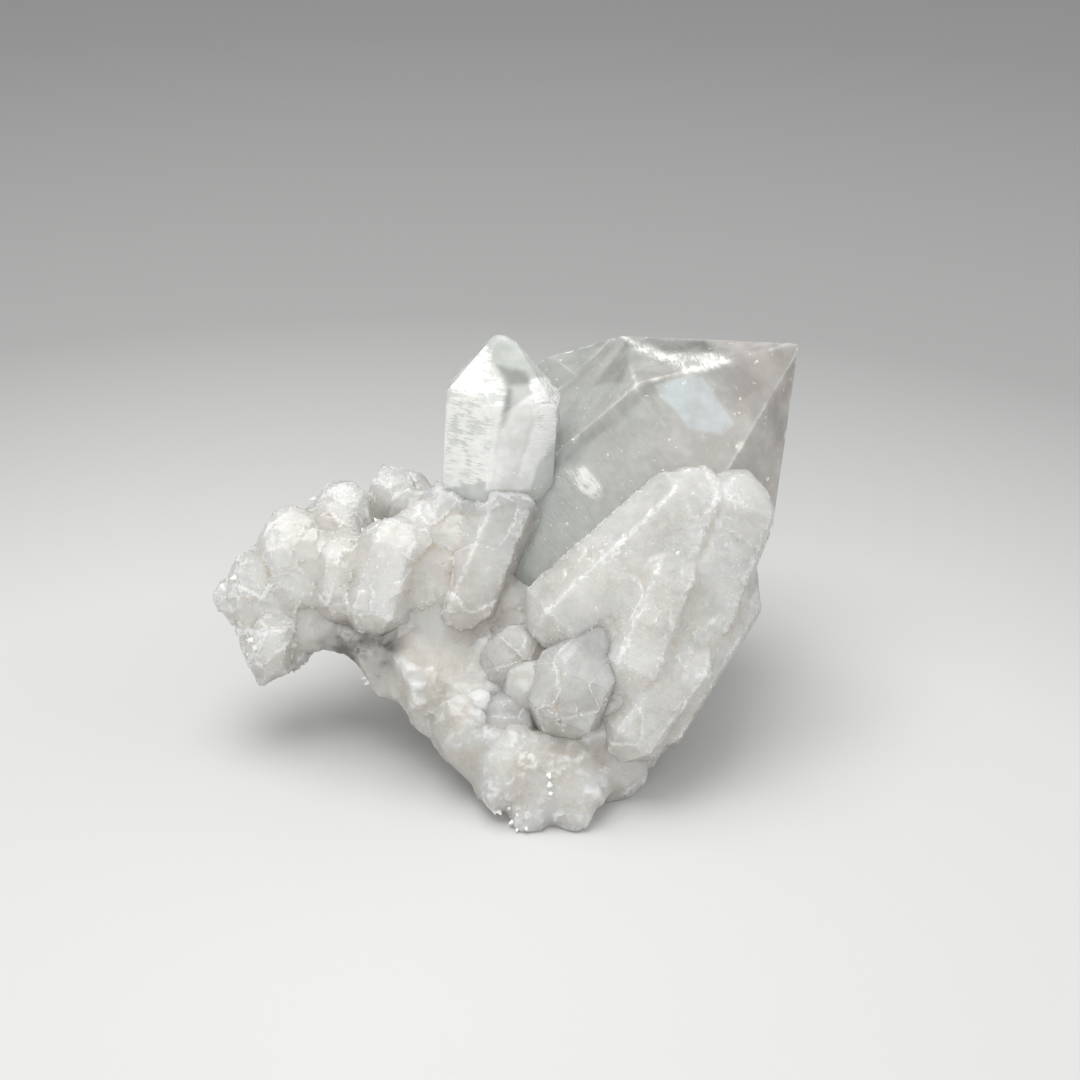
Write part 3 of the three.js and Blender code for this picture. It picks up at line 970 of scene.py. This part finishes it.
class QUARTZ_OT_matrix(QuartzOperator, bpy.types.Operator):
    """Makes the broken rock from its solid"""

    bl_idname = "quartz.matrix"
    bl_label = "Matrix"

    def execute(self, context):
        sizes, colours = context.scene.quartz_sizes, context.scene.quartz_colours
        filler = mortar(("matrix", "right_fan", "left_lobe"), FILLER_STEP, 14, 1.3 * MM)
        piece = fine_skin("matrix_skin", "matrix", sizes.rock_step, LUMPS, filler)
        mesh = piece.data
        pairs = pairs_of(mesh)
        filled(mesh, pairs, 8)
        put_places(mesh, averaged(places_of(mesh), pairs, 1))
        for size, share, seed in ((8 * MM, 0.65, 5), (3.6 * MM, 0.6, 6)):
            places = places_of(mesh)
            put_places(mesh, places + broken_flat(places, normals_of(mesh), size, share, seed))
            put_places(mesh, averaged(places_of(mesh), pairs, 1, 0.35))
        mesh = remeshed(piece, sizes.rock_step)
        pairs = pairs_of(mesh)
        filled(mesh, pairs, 6)
        places = places_of(mesh)
        broad = facets(places, 6 * MM, 15)
        tiny = facets(places, 1.1 * MM, 8)
        rough = smooth_step(-0.2, 0.4, clouds(places, 9 * MM, 2, 9))
        lift = 0.25 * MM + 0.35 * MM * broad + (0.06 + 0.22 * rough) * MM * tiny
        lift += climbed(places, ("front_points",), 3.5 * MM, 1.0 * MM)
        places += normals_of(mesh) * lift[:, None]
        rest_on_floor(places)
        put_places(mesh, places)
        edge = ridges(mesh, pairs, 1)
        put_values(mesh, "rim", smooth_step(0.3, 1.0, edge) * (0.35 + 0.35 * clouds(places, 4 * MM, 3, 13)))
        # where shade is painted in the creases
        put_values(mesh, "crease_shade_and_warm_tone", smooth_step(-0.04, -0.35, ridges(mesh, pairs, 10)))
        # where shade is painted: under the arch and on faces turned down
        put_values(mesh, "shade", painted_underside_shade(places, normals_of(mesh)))
        sugary = smooth_step(0.1, 0.6, clouds(places, 8 * MM, 2, 12)) * smooth_step(0.0, 0.5, edge)
        put_values(mesh, "sugar", sugary)
        finish_piece(piece, "matrix", sugary_rock(colours, "sugary_rock"), sharp=20)
        return {"FINISHED"}


class QUARTZ_OT_grains(QuartzOperator, bpy.types.Operator):
    """Strews small sugary points over the rock with Geometry Nodes"""

    bl_idname = "quartz.grains"
    bl_label = "Sugary grains"

    def execute(self, context):
        sizes, colours = context.scene.quartz_sizes, context.scene.quartz_colours
        material = sugar(colours, "sugar")
        for rock, seed in (("matrix_skin", 1), ("left_lobe_skin", 2)):
            piece = new_object(f"sugary_grains_{seed}", bpy.data.objects[rock].data.copy())
            strew = piece.modifiers.new("Strew", "NODES")
            strew.node_group = grain_tree(f"Strew grains {seed}")
            wanted = {"Density": sizes.grain_density, "Size": sizes.grain_size, "Seed": seed, "Material": material}
            for socket in strew.node_group.interface.items_tree:
                if socket.in_out == "INPUT" and socket.name in wanted:
                    strew[socket.identifier] = wanted[socket.name]
            mesh = settled(piece)
            places = places_of(mesh)
            rest_on_floor(places)
            put_places(mesh, places)
            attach(piece, "root")
        return {"FINISHED"}


def softbox(name, size, energy, place, target, colour=(1.0, 1.0, 1.0)):
    """A soft studio light, turned towards its target."""
    light = bpy.data.lights.new(name, "AREA")
    light.shape = "RECTANGLE"
    light.size, light.size_y = size
    light.energy = energy
    light.color = colour
    box = new_object(name, light)
    box.location = place
    box.rotation_euler = (Vector(target) - box.location).to_track_quat("-Z", "Y").to_euler()


class QUARTZ_OT_stage(QuartzOperator, bpy.types.Operator):
    """Makes the floor, the lights and the camera"""

    bl_idname = "quartz.stage"
    bl_label = "Stage"

    def execute(self, context):
        scene = context.scene
        bm = bmesh.new()
        bmesh.ops.create_circle(bm, cap_ends=True, segments=96, radius=3.0)
        mesh = bpy.data.meshes.new("floor")
        bm.to_mesh(mesh)
        bm.free()
        floor = new_object("floor", mesh)
        # the paper carries a painted pool of light, centred just in front of the cluster
        mesh.materials.append(paper_with_painted_light_pool("paper_with_painted_light_pool", (-0.02, -0.10, 0.0)))

        world = bpy.data.worlds.new("soft_room")
        world.use_nodes = True
        world.node_tree.nodes["Background"].inputs["Color"].default_value = (0.96, 0.98, 1.0, 1)
        world.node_tree.nodes["Background"].inputs["Strength"].default_value = 0.55
        scene.world = world

        softbox("overhead_softbox", (0.9, 0.7), 8.5, (-0.15, 0.05, 0.95), (0, 0, 0.02), (1.0, 0.99, 0.97))
        softbox("front_softbox", (1.0, 0.5), 3.6, (-0.1, -0.95, 0.30), (0, 0, 0.03))
        softbox("side_softbox", (1.0, 0.6), 2.6, (1.0, 0.15, 0.5), (0.1, 0.1, 0.03))

        camera = bpy.data.cameras.new("camera")
        camera.sensor_width = 36.0
        camera.lens = 36.0 / (2 * math.tan(math.radians(HALF_VIEW)))
        camera.clip_start, camera.clip_end = 0.01, 20.0
        eye = new_object("camera", camera)
        eye.location = EYE_PLACE
        eye.rotation_euler = (math.radians(90 - EYE_LEAN), 0, 0)
        scene.camera = eye

        scene.view_settings.view_transform = "Standard"
        return {"FINISHED"}


OPERATORS = (
    QUARTZ_OT_stage,
    QUARTZ_OT_main_point,
    QUARTZ_OT_upper_point,
    QUARTZ_OT_crystal_groups,
    QUARTZ_OT_matrix,
    QUARTZ_OT_grains,
)


class QUARTZ_PT_cluster(bpy.types.Panel):
    bl_idname = "QUARTZ_PT_cluster"
    bl_label = "Quartz cluster"
    bl_space_type = "VIEW_3D"
    bl_region_type = "UI"
    bl_category = "Quartz"

    def draw(self, context):
        layout = self.layout
        for group in (context.scene.quartz_sizes, context.scene.quartz_colours):
            for key in group.__annotations__:
                layout.prop(group, key)
        for operator in OPERATORS:
            layout.operator(operator.bl_idname)


CLASSES = (QuartzSizes, QuartzColours, *OPERATORS, QUARTZ_PT_cluster)


def register():
    for cls in CLASSES:
        bpy.utils.register_class(cls)
    bpy.types.Scene.quartz_sizes = bpy.props.PointerProperty(type=QuartzSizes)
    bpy.types.Scene.quartz_colours = bpy.props.PointerProperty(type=QuartzColours)


def unregister():
    del bpy.types.Scene.quartz_colours
    del bpy.types.Scene.quartz_sizes
    for cls in reversed(CLASSES):
        bpy.utils.unregister_class(cls)


def main():
    register()
    for operator in OPERATORS:
        group, name = operator.bl_idname.split(".")
        getattr(getattr(bpy.ops, group), name)()


if __name__ == "__main__":
    main()
